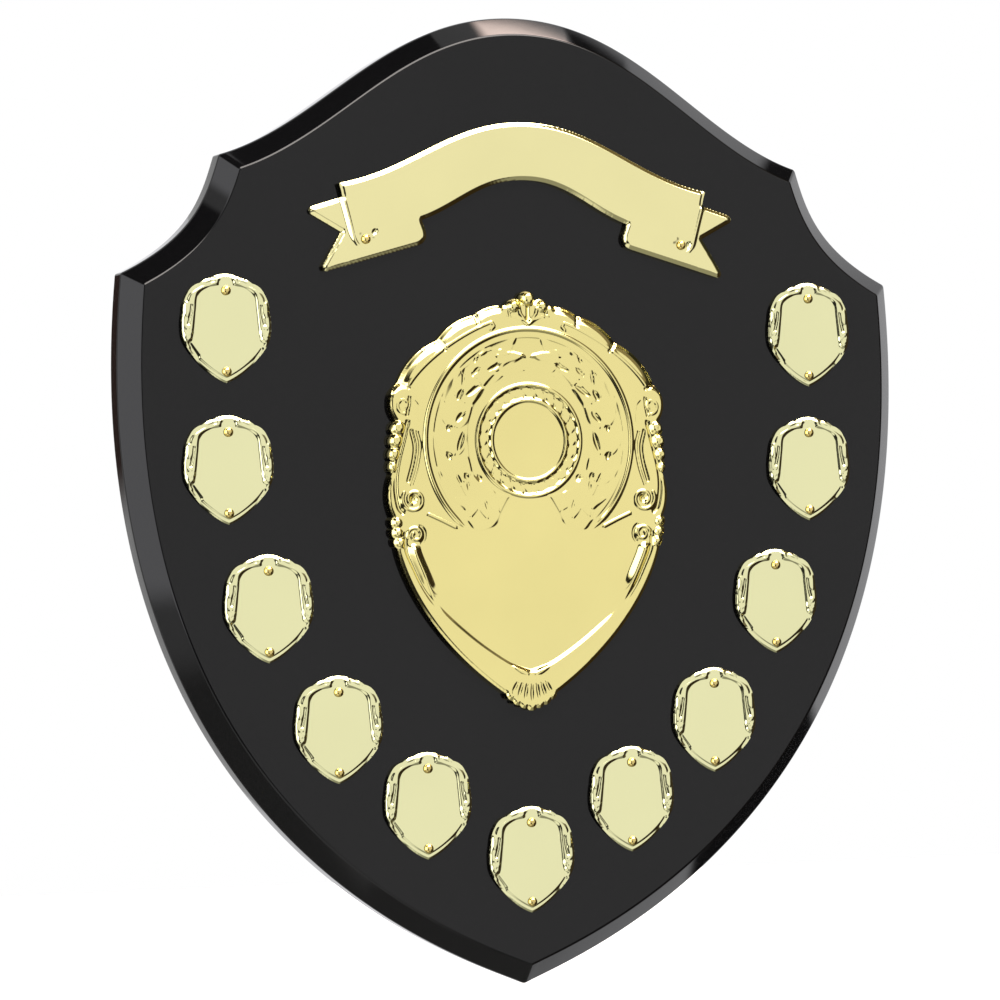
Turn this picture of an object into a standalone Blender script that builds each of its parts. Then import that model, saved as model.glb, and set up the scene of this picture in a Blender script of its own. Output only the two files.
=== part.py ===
"""Award shield plaque: a black lacquered board with pressed gold-coloured shields and a ribbon.

Metres, +Z up. The plaque hangs on a wall at the plane y = 0 and faces -Y. The origin is on the board's
flat back. Outlines are given seen from the front, as (x, z) in millimetres, for the right half only, from
the top of the middle line round to the bottom; the left half is their mirror image. A depth, or "out", is
the distance in front of the wall.
"""

import bmesh
import bpy
from math import asin, cos, pi, radians, sin
from mathutils import Matrix, Vector
from mathutils.geometry import interpolate_bezier

MM = 0.001
GAP = 0.3

# Backboard, in millimetres
BOARD_TOP = 153.5
BOARD_TIP = -153.0
SHOULDER = (99.0, 107.7)
HORN = (131.15, 70.4)
WALL_THICKNESS = 6.5
CHAMFER = 6.0
BOARD_FRONT = WALL_THICKNESS + CHAMFER

# Keyhole slot in the back, for a screw head up to 9 mm across
KEY_CENTRE_Z = 104.0
KEY_ENTRY_RADIUS = 5.2
KEY_SLOT_RADIUS = 2.5
KEY_POCKET_RADIUS = 4.9
KEY_TRAVEL = 12.0
KEY_LIP = 2.5
KEY_DEPTH = 7.6

# Pins
PIN_HEAD_RADIUS = 1.5
PIN_HEAD_HEIGHT = 1.0
PIN_RADIUS = 0.6
PIN_HOLE_RADIUS = 0.95
PIN_BITE = 6.0
PIN_SIDES = 8

# Small shields: height, depth of the rim and of the sunk field above the board, and pin places
SMALL_HEIGHT = 33.5
SMALL_RIM = 1.9
SMALL_FIELD = 1.2
SMALL_TOP_PIN = 5.1
SMALL_LOW_PIN = 3.4
SMALL_PLACES = ((99.7, 53.4), (99.4, 9.9), (86.8, -32.9), (64.3, -70.7), (34.9, -95.2))
SMALL_LAST = (0.0, -113.2)

# Ribbon
RIBBON_TAIL = 2.2
RIBBON_BAND = 3.4
RIBBON_EDGE = 0.9
RIBBON_PIN = (54.0, 81.6)
DIMPLE_FOOT = 2.0
DIMPLE_MOUTH = 3.1

# Centre shield
CENTRE_FIELD = 3.2
CENTRE_EDGE = 1.0
RAISED = 0.15
MEDAL_Z = 19.0
MEDAL_RING = 12.8
ROPE_RADIUS = 15.3
ROPE_TURNS = 18
ROPE_RING = 17.8
BIG_RING = 35.2
BIG_RING_OPENING = radians(35)
WREATH_RADIUS = 26.4
LEAF_ROWS = ((-3.4, 24, 8.4), (0.0, 0, 8.6), (3.4, -24, 8.4))
LEAF_WIDTH = 3.2
LEAF_WIDEST = 0.42
LEAF_ROOT = 0.3
LEAF_HEIGHT = 1.1
SHELL_HUB_Z = -44.0
SHELL_CUSPS = ((8.6, -60.8), (6.5, -63.0), (4.1, -64.4), (1.5, -65.3))
SHELL_BULGE = 0.6
SHELL_TIP = -66.2
FLUTE_SPAN = (0.64, 0.93)
VOLUTE = (39.3, 0.5)
VOLUTE_RADIUS = 4.3
SMALL_VOLUTE = (38.9, -10.6)
FINIAL_BALL = 2.3
FINIAL_SIDE_BALL = 1.6

# Radii of the raised bars of the centre shield's relief
RING_BAR = 0.7
BIG_RING_BAR = 1.0
SCROLL_BAR = 0.9
RIDGE_BAR = 0.8
SHOULDER_BAR = 0.8
STEM_BAR = 0.9
FLUTE_BAR = 1.0

LACQUER = (0.012, 0.012, 0.014)
GOLD = (0.90, 0.78, 0.42)
BRASS = (0.80, 0.62, 0.22)


def material(name, colour, roughness, metallic):
    """A Principled material with one plain colour."""
    made = bpy.data.materials.new(name)
    made.use_nodes = True
    shader = made.node_tree.nodes["Principled BSDF"]
    shader.inputs["Base Color"].default_value = (*colour, 1.0)
    shader.inputs["Roughness"].default_value = roughness
    shader.inputs["Metallic"].default_value = metallic
    return made


def run(start, first_handle, last_handle, end, steps):
    """Points along one Bezier stretch, without its first point."""
    knots = [Vector((*point, 0.0)) for point in (start, first_handle, last_handle, end)]
    return [(p.x, p.y) for p in interpolate_bezier(*knots, steps + 1)][1:-1] + [tuple(end)]


def lobe(start, end, bulge, steps):
    """Points along an arc from start to end that bulges to the left of its way, without the first."""
    a, b = Vector(start), Vector(end)
    chord = b - a
    radius = (chord.length ** 2 / 4 + bulge ** 2) / (2 * bulge)
    half_angle = asin(chord.length / 2 / radius)
    side = Vector((-chord.y, chord.x)).normalized()
    centre = (a + b) / 2 + side * (bulge - radius)
    points = []
    for step in range(1, steps + 1):
        turn = half_angle * (1 - 2 * step / steps)
        spoke = side * cos(turn) - chord.normalized() * sin(turn)
        points.append(tuple(centre + spoke * radius))
    return points


def lobes(start, knots, steps):
    """A row of lobes: knots hold each lobe's end and its bulge."""
    points = []
    for end, bulge in knots:
        points += lobe(start, end, bulge, steps)
        start = end
    return points


def whole(half):
    """Both halves of an outline whose right half runs from the top to the bottom of the middle line."""
    return half + [(-x, z) for x, z in reversed(half) if abs(x) > 1e-4]


def circle(centre, radius, sides, first=0.0):
    """A regular polygon of points."""
    angles = [first + 2 * pi * side / sides for side in range(sides)]
    return [(centre[0] + radius * cos(a), centre[1] + radius * sin(a)) for a in angles]


def new_object(name, mesh, collection, look=None):
    made = bpy.data.objects.new(name, mesh)
    collection.objects.link(made)
    if look:
        mesh.materials.append(look)
    return made


def curve_mesh(curve, place):
    """The closed mesh of a curve, with its caps welded and flat faces made whole, moved to its place."""
    holder = bpy.data.objects.new(curve.name, curve)
    bpy.context.scene.collection.objects.link(holder)
    holder.matrix_world = place
    bpy.context.view_layer.update()
    evaluated = holder.evaluated_get(bpy.context.evaluated_depsgraph_get())
    mesh = bpy.data.meshes.new_from_object(evaluated)
    mesh.transform(place)
    bpy.data.objects.remove(holder)
    bm = bmesh.new()
    bm.from_mesh(mesh)
    bmesh.ops.remove_doubles(bm, verts=bm.verts, dist=0.01 * MM)
    bmesh.ops.recalc_face_normals(bm, faces=bm.faces)
    bmesh.ops.dissolve_limit(bm, angle_limit=radians(0.5), verts=bm.verts, edges=bm.edges)
    bm.to_mesh(mesh)
    bm.free()
    return mesh


def slab(name, outline, near, far):
    """A flat solid with this outline, from near to far in front of the wall."""
    curve = bpy.data.curves.new(name, "CURVE")
    curve.dimensions = "2D"
    curve.fill_mode = "BOTH"
    curve.extrude = (far - near) / 2 * MM
    spline = curve.splines.new("POLY")
    spline.points.add(len(outline) - 1)
    for point, (x, z) in zip(spline.points, outline):
        point.co = (x * MM, z * MM, 0.0, 1.0)
    spline.use_cyclic_u = True
    upright = Matrix.Rotation(radians(90), 4, "X")
    return curve_mesh(curve, Matrix.Translation((0, -(near + far) / 2 * MM, 0)) @ upright)


def tube(name, path, out, radius, closed=False, taper=None):
    """A round bar along a path of (x, z), with its centre line at one depth."""
    curve = bpy.data.curves.new(name, "CURVE")
    curve.dimensions = "3D"
    curve.fill_mode = "FULL"
    curve.bevel_depth = radius * MM
    curve.bevel_resolution = 1
    curve.use_fill_caps = not closed
    spline = curve.splines.new("POLY")
    spline.points.add(len(path) - 1)
    for index, (point, (x, z)) in enumerate(zip(spline.points, path)):
        point.co = (x * MM, -out * MM, z * MM, 1.0)
        if taper:
            point.radius = taper(index / (len(path) - 1))
    spline.use_cyclic_u = closed
    return curve_mesh(curve, Matrix.Identity(4))


def ball(name, centre, out, radius, stretch=(1, 1, 1), turn=0.0, segments=8, rings=5):
    """A faceted ball, stretched along x, out and z, and turned in the plane of the front."""
    mesh = bpy.data.meshes.new(name)
    bm = bmesh.new()
    place = (
        Matrix.Translation((centre[0] * MM, -out * MM, centre[1] * MM))
        @ Matrix.Rotation(-turn, 4, "Y")
        @ Matrix.Diagonal((*stretch, 1.0))
    )
    bmesh.ops.create_uvsphere(bm, u_segments=segments, v_segments=rings, radius=radius * MM, matrix=place)
    bm.to_mesh(mesh)
    bm.free()
    return mesh


def leaf(name, foot, angle, length, width, out, height):
    """A pointed leaf with four slopes, its ridge nearer its foot, rooted a little below the surface."""
    mesh = bpy.data.meshes.new(name)
    bm = bmesh.new()
    bmesh.ops.create_cone(bm, cap_ends=True, segments=4, radius1=0.5, radius2=0.0, depth=1.0)
    for vertex in bm.verts:
        top = vertex.co.z > 0
        along = LEAF_WIDEST if top or abs(vertex.co.y) > 0.1 else 0.5 + vertex.co.x
        vertex.co = (along, vertex.co.y, 1.0 if top else -LEAF_ROOT)
    place = (
        Matrix.Translation((foot[0] * MM, -out * MM, foot[1] * MM))
        @ Matrix.Rotation(-angle, 4, "Y")
        @ Matrix.Rotation(radians(90), 4, "X")
        @ Matrix.Diagonal((length * MM, width * MM, height * MM, 1.0))
    )
    bmesh.ops.transform(bm, matrix=place, verts=bm.verts)
    bmesh.ops.recalc_face_normals(bm, faces=bm.faces)
    bm.to_mesh(mesh)
    bm.free()
    return mesh


def soften_front(mesh, far, width):
    """Bevels the front rim of a slab."""
    bm = bmesh.new()
    bm.from_mesh(mesh)
    rim = [edge for edge in bm.edges if all(abs(v.co.y + far * MM) < 0.01 * MM for v in edge.verts)]
    bmesh.ops.bevel(bm, geom=rim, offset=width * MM, segments=1, affect="EDGES", clamp_overlap=False)
    bm.to_mesh(mesh)
    bm.free()


def combine(target, meshes, operation, hidden):
    """Cuts the target with, or joins to it, meshes that don't touch each other."""
    bm = bmesh.new()
    for mesh in meshes:
        bm.from_mesh(mesh)
    tool_mesh = bpy.data.meshes.new(target.name + "_tool")
    bm.to_mesh(tool_mesh)
    bm.free()
    tool = new_object(tool_mesh.name, tool_mesh, hidden)
    tool.hide_render = True
    tool.display_type = "WIRE"
    change = target.modifiers.new(operation.lower(), "BOOLEAN")
    change.operation = operation
    change.solver = "EXACT"
    change.object = tool


def keyhole(radius):
    """The slot's outline: its round entry below, and its narrow end above."""
    entry, end = (0.0, KEY_CENTRE_Z), (0.0, KEY_CENTRE_Z + KEY_TRAVEL)
    meeting = asin(radius / KEY_ENTRY_RADIUS) if radius < KEY_ENTRY_RADIUS else pi / 2
    points = []
    for step in range(13):
        angle = pi / 2 + meeting + (2 * pi - 2 * meeting) * step / 12
        points.append((entry[0] + KEY_ENTRY_RADIUS * cos(angle), entry[1] + KEY_ENTRY_RADIUS * sin(angle)))
    for step in range(9):
        angle = pi * step / 8
        points.append((end[0] + radius * cos(angle), end[1] + radius * sin(angle)))
    return points


def board_outline():
    half = [(0.0, BOARD_TOP)]
    half += run(half[-1], (43.2, BOARD_TOP), (64.9, 117.6), SHOULDER, 13)
    half += run(SHOULDER, (103.2, 94.1), (107.3, 82.0), HORN, 7)
    half += run(HORN, (148.8, -108.1), (12.3, -146.7), (0.0, BOARD_TIP), 18)
    return whole(half)


def pin_places():
    """Each pin's name, place and the depth of the face that its head sits on."""
    places = []
    for number, (x, z) in enumerate(small_places(), start=1):
        top = z + SMALL_HEIGHT / 2
        foot = BOARD_FRONT + SMALL_FIELD
        places.append((f"side_pin_{number:02d}_top", (x, top - SMALL_TOP_PIN), foot))
        places.append((f"side_pin_{number:02d}_bottom", (x, top - SMALL_HEIGHT + SMALL_LOW_PIN), foot))
    for side, name in ((-1, "ribbon_pin_left"), (1, "ribbon_pin_right")):
        places.append((name, (side * RIBBON_PIN[0], RIBBON_PIN[1]), BOARD_FRONT + RIBBON_TAIL))
    return places


def small_places():
    """The small shields' middles, from the top left down to the bottom point and up to the top right."""
    left = [(-x, z) for x, z in SMALL_PLACES]
    return left + [SMALL_LAST] + list(reversed(SMALL_PLACES))


def make_board(collection, hidden, look):
    mesh = slab("board", board_outline(), 0.0, BOARD_FRONT)
    soften_front(mesh, BOARD_FRONT, CHAMFER)
    board = new_object("board", mesh, collection, look)
    holes = [
        slab("pin_hole", circle(place, PIN_HOLE_RADIUS, 6), BOARD_FRONT - PIN_BITE - GAP, BOARD_FRONT + 1)
        for _, place, _ in pin_places()
    ]
    combine(board, holes, "DIFFERENCE", hidden)
    combine(board, [slab("keyhole_mouth", keyhole(KEY_SLOT_RADIUS), -1.0, KEY_DEPTH)], "DIFFERENCE", hidden)
    pocket = slab("keyhole_pocket", keyhole(KEY_POCKET_RADIUS), KEY_LIP, KEY_DEPTH - 0.2)
    combine(board, [pocket], "DIFFERENCE", hidden)
    return board


def small_outline():
    """Small shield, measured down from its top: five soft lobes, then a plain side to the point."""
    shoulder = [((4.6, -1.2), 0.35), ((8.5, -2.9), 0.35), ((12.4, -6.0), 0.6), ((14.1, -11.7), 0.4)]
    half = [(0.0, 0.0)] + lobes((0.0, 0.0), shoulder + [((14.2, -19.8), 0.4)], 2)
    return half + run(half[-1], (12.9, -24.0), (6.0, -31.6), (0.0, -SMALL_HEIGHT), 5)


def small_field():
    """The sunk field of a small shield: broad scrolled border above, narrow rim below."""
    half = [(0.0, -2.6), (2.4, -2.6)]
    half += run(half[-1], (4.0, -4.6), (9.2, -4.0), (9.5, -10.5), 3)
    half += [(10.3, -17.8), (11.8, -21.2)]
    return half + run(half[-1], (10.4, -25.0), (5.0, -30.2), (0.0, -31.9), 3)


def make_small_shields(collection, hidden, look):
    """One small shield modelled about its own middle, then one object for each place."""
    lift = SMALL_HEIGHT / 2
    outline = [(x, z + lift) for x, z in whole(small_outline())]
    field = [(x, z + lift) for x, z in whole(small_field())]
    mesh = slab("small_shield", outline, GAP, SMALL_RIM)
    pattern = new_object("small_shield", mesh, hidden, look)
    combine(pattern, [slab("small_field", field, SMALL_FIELD, SMALL_RIM + 1)], "DIFFERENCE", hidden)
    pins = ((0.0, lift - SMALL_TOP_PIN), (0.0, -lift + SMALL_LOW_PIN))
    holes = [slab("small_hole", circle(pin, PIN_HOLE_RADIUS, 6), -1.0, SMALL_FIELD + 0.5) for pin in pins]
    combine(pattern, holes, "DIFFERENCE", hidden)
    bpy.context.view_layer.update()
    finished = bpy.data.meshes.new_from_object(
        pattern.evaluated_get(bpy.context.evaluated_depsgraph_get())
    )
    bpy.data.objects.remove(pattern)
    for number, (x, z) in enumerate(small_places(), start=1):
        shield = bpy.data.objects.new(f"side_shield_{number:02d}", finished)
        shield.location = (x * MM, -BOARD_FRONT * MM, z * MM)
        collection.objects.link(shield)


def band_outline():
    """The ribbon's front layer, an arched band whose ends fold back at the pins."""
    half = [(0.0, 119.5)] + run((0.0, 119.5), (25.0, 119.5), (38.0, 103.5), (62.7, 98.9), 9)
    half += [(60.6, 91.5), (58.6, 83.0), (57.4, 79.6)]
    half += [(55.6, 79.3), (46.0, 83.2), (35.1, 88.0)]
    return whole(half + run((35.1, 88.0), (22.0, 92.5), (15.0, 101.3), (0.0, 101.3), 7))


def tail_outline(side):
    """One swallow tail with the piece that folds under the band."""
    points = [(58.0, 95.4), (71.2, 91.6), (72.2, 90.6), (72.0, 89.3), (61.8, 83.8), (68.3, 73.2)]
    points += [(68.2, 71.9), (66.8, 71.5), (36.0, 80.2), (34.0, 81.6)]
    points += [(33.6, 83.4), (34.9, 87.4), (37.0, 90.5)]
    return [(side * x, z) for x, z in points][::side]


def make_ribbon(collection, hidden, look):
    front = BOARD_FRONT + RIBBON_BAND
    mesh = slab("ribbon_scroll", band_outline(), BOARD_FRONT + GAP, front)
    soften_front(mesh, front, RIBBON_EDGE)
    ribbon = new_object("ribbon_scroll", mesh, collection, look)
    low = BOARD_FRONT + RIBBON_TAIL
    tails = []
    for side in (-1, 1):
        tail = slab("ribbon_tail", tail_outline(side), BOARD_FRONT + GAP, low)
        soften_front(tail, low, RIBBON_EDGE)
        tails.append(tail)
    combine(ribbon, tails, "UNION", hidden)
    dimples, holes = [], []
    for side in (-1, 1):
        place = (side * RIBBON_PIN[0], RIBBON_PIN[1])
        dimples.append(dimple(place, low, front + 1.0))
        holes.append(slab("ribbon_hole", circle(place, PIN_HOLE_RADIUS, 6), BOARD_FRONT - 1, low + 0.5))
    combine(ribbon, dimples, "DIFFERENCE", hidden)
    combine(ribbon, holes, "DIFFERENCE", hidden)
    return ribbon


def dimple(place, foot, mouth):
    """A cone cutter that opens towards the front."""
    mesh = bpy.data.meshes.new("dimple")
    bm = bmesh.new()
    bmesh.ops.create_cone(
        bm, cap_ends=True, segments=12, radius1=DIMPLE_FOOT * MM, radius2=DIMPLE_MOUTH * MM,
        depth=(mouth - foot) * MM,
        matrix=Matrix.Translation((place[0] * MM, -(foot + mouth) / 2 * MM, place[1] * MM))
        @ Matrix.Rotation(radians(90), 4, "X"),
    )
    bm.to_mesh(mesh)
    bm.free()
    return mesh


def shell_edge():
    """The fan shell's scalloped edge, from its right corner to the middle of its lowest lobe."""
    edge = lobes(SHELL_CUSPS[0], [(cusp, SHELL_BULGE) for cusp in SHELL_CUSPS[1:]], 2)
    return [SHELL_CUSPS[0]] + edge + [(0.0, SHELL_TIP)]


def shell_flutes():
    """Each flute's path, on a line from the shell's hub to the middle of its lobe."""
    right = [((ax + bx) / 2, (az + bz) / 2) for (ax, az), (bx, bz) in zip(SHELL_CUSPS, SHELL_CUSPS[1:])]
    paths = []
    for x, z in right + [(0.0, SHELL_TIP)] + [(-x, z) for x, z in right]:
        paths.append([(x * share, SHELL_HUB_Z + (z - SHELL_HUB_Z) * share) for share in FLUTE_SPAN])
    return paths


def centre_outline():
    """Centre shield, right half: finial, scalloped shoulder, beaded side, scroll, plain side and shell."""
    half = [(0.0, 66.2)] + lobes((0.0, 66.2), [((2.2, 62.6), 1.2)], 2)
    half += lobes((2.2, 62.6), [((7.1, 61.4), 1.6)], 3)
    shoulder = [((17.6, 58.4), 1.1), ((30.4, 50.2), 1.5), ((43.8, 36.9), 2.0), ((44.9, 25.0), 2.4)]
    half += lobes(half[-1], shoulder, 4)
    beads = [((46.0, 20.9), 0.9), ((46.3, 16.8), 0.9), ((46.6, 12.6), 0.9), ((46.2, 8.6), 0.9)]
    half += lobes(half[-1], beads, 3)
    half += lobes(half[-1], [((46.2, -5.0), 1.5)], 4)
    half += lobes(half[-1], [((46.2, -8.3), 0.8), ((45.7, -11.6), 0.8), ((44.9, -14.6), 0.7)], 3)
    edge = shell_edge()
    half += run(half[-1], (42.5, -26.5), (31.5, -45.5), edge[0], 8)
    return whole(half + edge[1:])


def spiral(centre, outer, inner, first, turns, hand, steps):
    """A volute that winds in from its outer radius."""
    points = []
    for step in range(steps + 1):
        share = step / steps
        angle = first + hand * 2 * pi * turns * share
        radius = outer + (inner - outer) * share
        points.append((centre[0] + radius * cos(angle), centre[1] + radius * sin(angle)))
    return points


def ring_point(radius, angle):
    return (radius * cos(angle), MEDAL_Z + radius * sin(angle))


def wreath():
    """Laurel leaves in pairs along both branches, from the foot of each branch up to its tip."""
    leaves = []
    for side in (-1, 1):
        for row in range(8):
            angle = radians(-62 + 18.5 * row)
            for offset, lean, length in LEAF_ROWS:
                x, z = ring_point(WREATH_RADIUS + offset, angle)
                heading = angle + radians(90 + lean)
                if side < 0:
                    x, heading = -x, pi - heading
                ground = BOARD_FRONT + CENTRE_FIELD
                leaves.append(leaf("leaf", (x, z), heading, length, LEAF_WIDTH, ground, LEAF_HEIGHT))
    return leaves


def make_centre_shield(collection, hidden, look):
    field = BOARD_FRONT + CENTRE_FIELD
    mesh = slab("centre_shield", centre_outline(), BOARD_FRONT + GAP, field)
    soften_front(mesh, field, CENTRE_EDGE)
    shield = new_object("centre_shield", mesh, collection, look)
    combine(shield, wreath(), "UNION", hidden)
    rings = [
        tube("medal_ring", circle((0, MEDAL_Z), MEDAL_RING, 26), field + RAISED, RING_BAR, closed=True),
        tube("rope_ring", circle((0, MEDAL_Z), ROPE_RING, 30), field + RAISED, RING_BAR, closed=True),
    ]
    for bead in range(ROPE_TURNS):
        angle = 2 * pi * bead / ROPE_TURNS
        place = ring_point(ROPE_RADIUS, angle)
        rings.append(ball("bead", place, field + RAISED, 1.0, (1.8, 0.8, 0.8), angle + radians(50), 5, 3))
    sweep = 2 * pi - 2 * BIG_RING_OPENING
    first = -pi / 2 + BIG_RING_OPENING
    arc = [ring_point(BIG_RING, first + sweep * step / 30) for step in range(31)]
    rings.append(tube("big_ring", arc, field + RAISED, BIG_RING_BAR))
    combine(shield, rings, "UNION", hidden)
    combine(shield, side_scrolls(field), "UNION", hidden)
    combine(shield, top_and_shell(field), "UNION", hidden)
    return shield


def side_scrolls(field):
    """The long S scrolls, their volutes, the small volutes and the rim's inner ridge."""
    bars = []
    for side in (-1, 1):
        scroll = [(43.2, 31.0), (41.8, 27.5)] + run((41.8, 27.5), (39.5, 18.0), (44.3, 10.0), (43.9, 1.5), 6)
        scroll += spiral(VOLUTE, VOLUTE_RADIUS, 1.3, 0.0, 1.2, -1, 10)[1:]
        ridge = spiral(SMALL_VOLUTE, 1.0, 3.0, radians(-20), 0.8, 1, 6)
        ridge += run(ridge[-1], (36.5, -29.0), (22.5, -44.5), (7.2, -52.4), 7)
        shoulder = run((11.5, 55.8), (22.0, 52.0), (36.0, 44.0), (40.6, 35.0), 5)
        bars.append(tube("scroll", [(side * x, z) for x, z in scroll], field + RAISED, SCROLL_BAR))
        bars.append(tube("ridge", [(side * x, z) for x, z in ridge], field + RAISED, RIDGE_BAR))
        bars.append(tube("shoulder", [(side * x, z) for x, z in shoulder], field + RAISED, SHOULDER_BAR))
    return bars


def top_and_shell(field):
    """The finial's balls and stem and the shell's flutes."""
    out = field + RAISED
    shapes = [ball("finial", (0.0, 63.6), out, FINIAL_BALL)]
    shapes.append(tube("stem", [(0.0, 60.8), (0.0, 56.9)], out, STEM_BAR))
    for side in (-1, 1):
        shapes.append(ball("finial_side", (side * 4.8, 61.2), out, FINIAL_SIDE_BALL))
    for path in shell_flutes():
        shapes.append(tube("flute", path, out, FLUTE_BAR, taper=lambda share: 0.5 + 0.5 * share))
    return shapes


def make_pins(collection, look):
    """A turned pin: domed head in front, shank into the board, on its own axis."""
    top = PIN_HEAD_HEIGHT
    profile = [(0.0, top), (1.05, top * 0.7), (PIN_HEAD_RADIUS, 0.0), (PIN_RADIUS, 0.0)]
    for name, (x, z), foot in pin_places():
        shank = foot + GAP - (BOARD_FRONT - PIN_BITE)
        points = profile + [(PIN_RADIUS, -shank), (0.0, -shank)]
        mesh = bpy.data.meshes.new(name)
        links = [(i, i + 1) for i in range(len(points) - 1)]
        mesh.from_pydata([(r * MM, 0.0, h * MM) for r, h in points], links, [])
        pin = new_object(name, mesh, collection, look)
        turn = pin.modifiers.new("turn", "SCREW")
        turn.steps = PIN_SIDES
        turn.render_steps = PIN_SIDES
        turn.use_merge_vertices = True
        turn.merge_threshold = 0.00001
        pin.rotation_euler = (radians(90), 0.0, 0.0)
        pin.location = (x * MM, -(foot + GAP) * MM, z * MM)


def main():
    for old in list(bpy.data.objects):
        bpy.data.objects.remove(old)
    plaque = bpy.data.collections.new("award_shield_plaque")
    hidden = bpy.data.collections.new("cutters")
    bpy.context.scene.collection.children.link(plaque)
    bpy.context.scene.collection.children.link(hidden)
    lacquer = material("black_lacquer", LACQUER, 0.08, 0.0)
    gold = material("pressed_gold", GOLD, 0.15, 1.0)
    brass = material("pin_brass", BRASS, 0.2, 1.0)
    make_board(plaque, hidden, lacquer)
    make_ribbon(plaque, hidden, gold)
    make_centre_shield(plaque, hidden, gold)
    make_small_shields(plaque, hidden, gold)
    make_pins(plaque, brass)


main()
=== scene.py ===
"""Award shield plaque, dressed: a gloss black board with pressed gold shields, a ribbon and brass pins.

Run as a script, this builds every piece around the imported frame. The plaque hangs at the plane y = 0 and
faces -Y. Outlines and relief are worked out in millimetres as (x, z) seen from the front, and "rise" is the
height in front of the board's face.
"""

from math import asin, cos, pi, radians, sin

import bmesh
import bpy
import numpy as np
from bpy.props import FloatProperty, FloatVectorProperty, IntProperty, PointerProperty
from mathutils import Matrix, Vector
from mathutils.geometry import interpolate_bezier


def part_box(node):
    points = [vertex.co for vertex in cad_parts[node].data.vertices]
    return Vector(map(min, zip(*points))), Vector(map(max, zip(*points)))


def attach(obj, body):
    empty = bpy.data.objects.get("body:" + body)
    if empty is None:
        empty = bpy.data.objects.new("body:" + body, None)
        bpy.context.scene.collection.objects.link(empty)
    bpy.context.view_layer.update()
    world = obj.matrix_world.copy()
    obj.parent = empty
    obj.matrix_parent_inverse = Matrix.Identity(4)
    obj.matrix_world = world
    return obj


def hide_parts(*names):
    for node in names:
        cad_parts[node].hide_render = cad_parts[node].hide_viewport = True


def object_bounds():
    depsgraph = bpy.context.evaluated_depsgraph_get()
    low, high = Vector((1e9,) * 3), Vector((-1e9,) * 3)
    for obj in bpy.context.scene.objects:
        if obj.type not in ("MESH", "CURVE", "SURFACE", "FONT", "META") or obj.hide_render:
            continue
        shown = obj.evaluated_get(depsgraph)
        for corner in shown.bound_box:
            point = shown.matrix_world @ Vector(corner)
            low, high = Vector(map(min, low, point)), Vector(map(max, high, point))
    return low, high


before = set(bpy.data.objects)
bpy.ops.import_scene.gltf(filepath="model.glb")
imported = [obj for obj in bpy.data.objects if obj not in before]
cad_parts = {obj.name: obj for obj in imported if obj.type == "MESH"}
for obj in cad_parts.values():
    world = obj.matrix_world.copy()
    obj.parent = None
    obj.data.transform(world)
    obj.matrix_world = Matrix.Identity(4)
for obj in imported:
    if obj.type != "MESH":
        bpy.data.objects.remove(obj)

bl_info = {
    "name": "Award Shield Plaque",
    "version": (1, 0, 0),
    "blender": (4, 5, 0),
    "location": "3D View > Sidebar > Plaque",
    "description": "Builds a gloss black award shield with pressed gold shields, a ribbon and pins",
    "category": "Object",
}

MM = 0.001
CAD_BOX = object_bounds()
BOARD_LOW, BOARD_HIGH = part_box("board")
BOARD_FRONT = -BOARD_LOW[1] / MM
BOARD_TOP = BOARD_HIGH[2] / MM
BOARD_TIP = BOARD_LOW[2] / MM

# The board's corners, and the hanging slot in its back
SHOULDER = (99.0, 107.7)
HORN = (131.15, 70.4)
KEY_CENTRE_Z = 104.0
KEY_ENTRY_RADIUS = 5.2
KEY_SLOT_RADIUS = 2.5
KEY_POCKET_RADIUS = 4.9
KEY_TRAVEL = 12.0
KEY_LIP = 2.5
KEY_DEPTH = 7.6

# Pins: their holes in the board, how far these reach past the shanks, and the place of the ribbon's right pin
PIN_HOLE_RADIUS = 0.7
PIN_HOLE_SPARE = 0.3
RIBBON_PIN = (54.0, 81.6)

# Pressed sheet: its flat back's height over the board, its grids, and how its edge is evened out
SHEET_BACK = 0.05
SAMPLE_SHIFT = 0.13
RIBBON_SPACING = 0.35
CENTRE_SPACING = 0.31
CENTRE_ROWS = ((66.8, -14.0, 0.30), (-14.0, -51.0, 0.46), (-51.0, -67.0, 0.32))
SMALL_SPACING = 0.2
ON_MIDDLE = 1e-6
SPACING_PASSES = 12
EASED_ROWS = 3
EASING_PASSES = 4

# Centre shield
MEDAL_Z = 19.0
MEDAL_RING = 12.7
ROPE_RING = 17.6
BIG_RING = 35.2
INNER_LINE = BIG_RING - 2.2
RING_OPENING = radians(35)
ROPE_HALF_WIDTH = 1.95
WREATH_RADIUS = 26.0
VOLUTE = (39.3, 0.5)
SMALL_VOLUTE = (38.9, -10.6)
SHOULDER_CUSPS = ((7.1, 61.4), (17.6, 58.4), (30.4, 50.2), (43.8, 36.9), (44.9, 25.0))
SHELL_CUSPS = ((8.6, -60.8), (6.5, -63.0), (4.1, -64.4), (1.5, -65.3))
FLUTE_STARTS = ((0.0, -57.2), (1.5, -57.1), (3.0, -56.8), (4.5, -56.6))
FLUTE_ENDS = ((0.0, -64.2), (2.6, -63.4), (4.9, -62.5), (6.9, -61.0))

# The inner line of the plain rim round the lower field, from the small volute down to the shell
RIM_LINE = (
    (42.0, -10.2), (41.9, -15.0), (39.3, -21.0), (35.6, -28.0), (30.2, -35.0), (21.5, -42.6), (13.6, -48.3),
    (6.4, -52.5), (0.0, -54.6),
)

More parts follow.
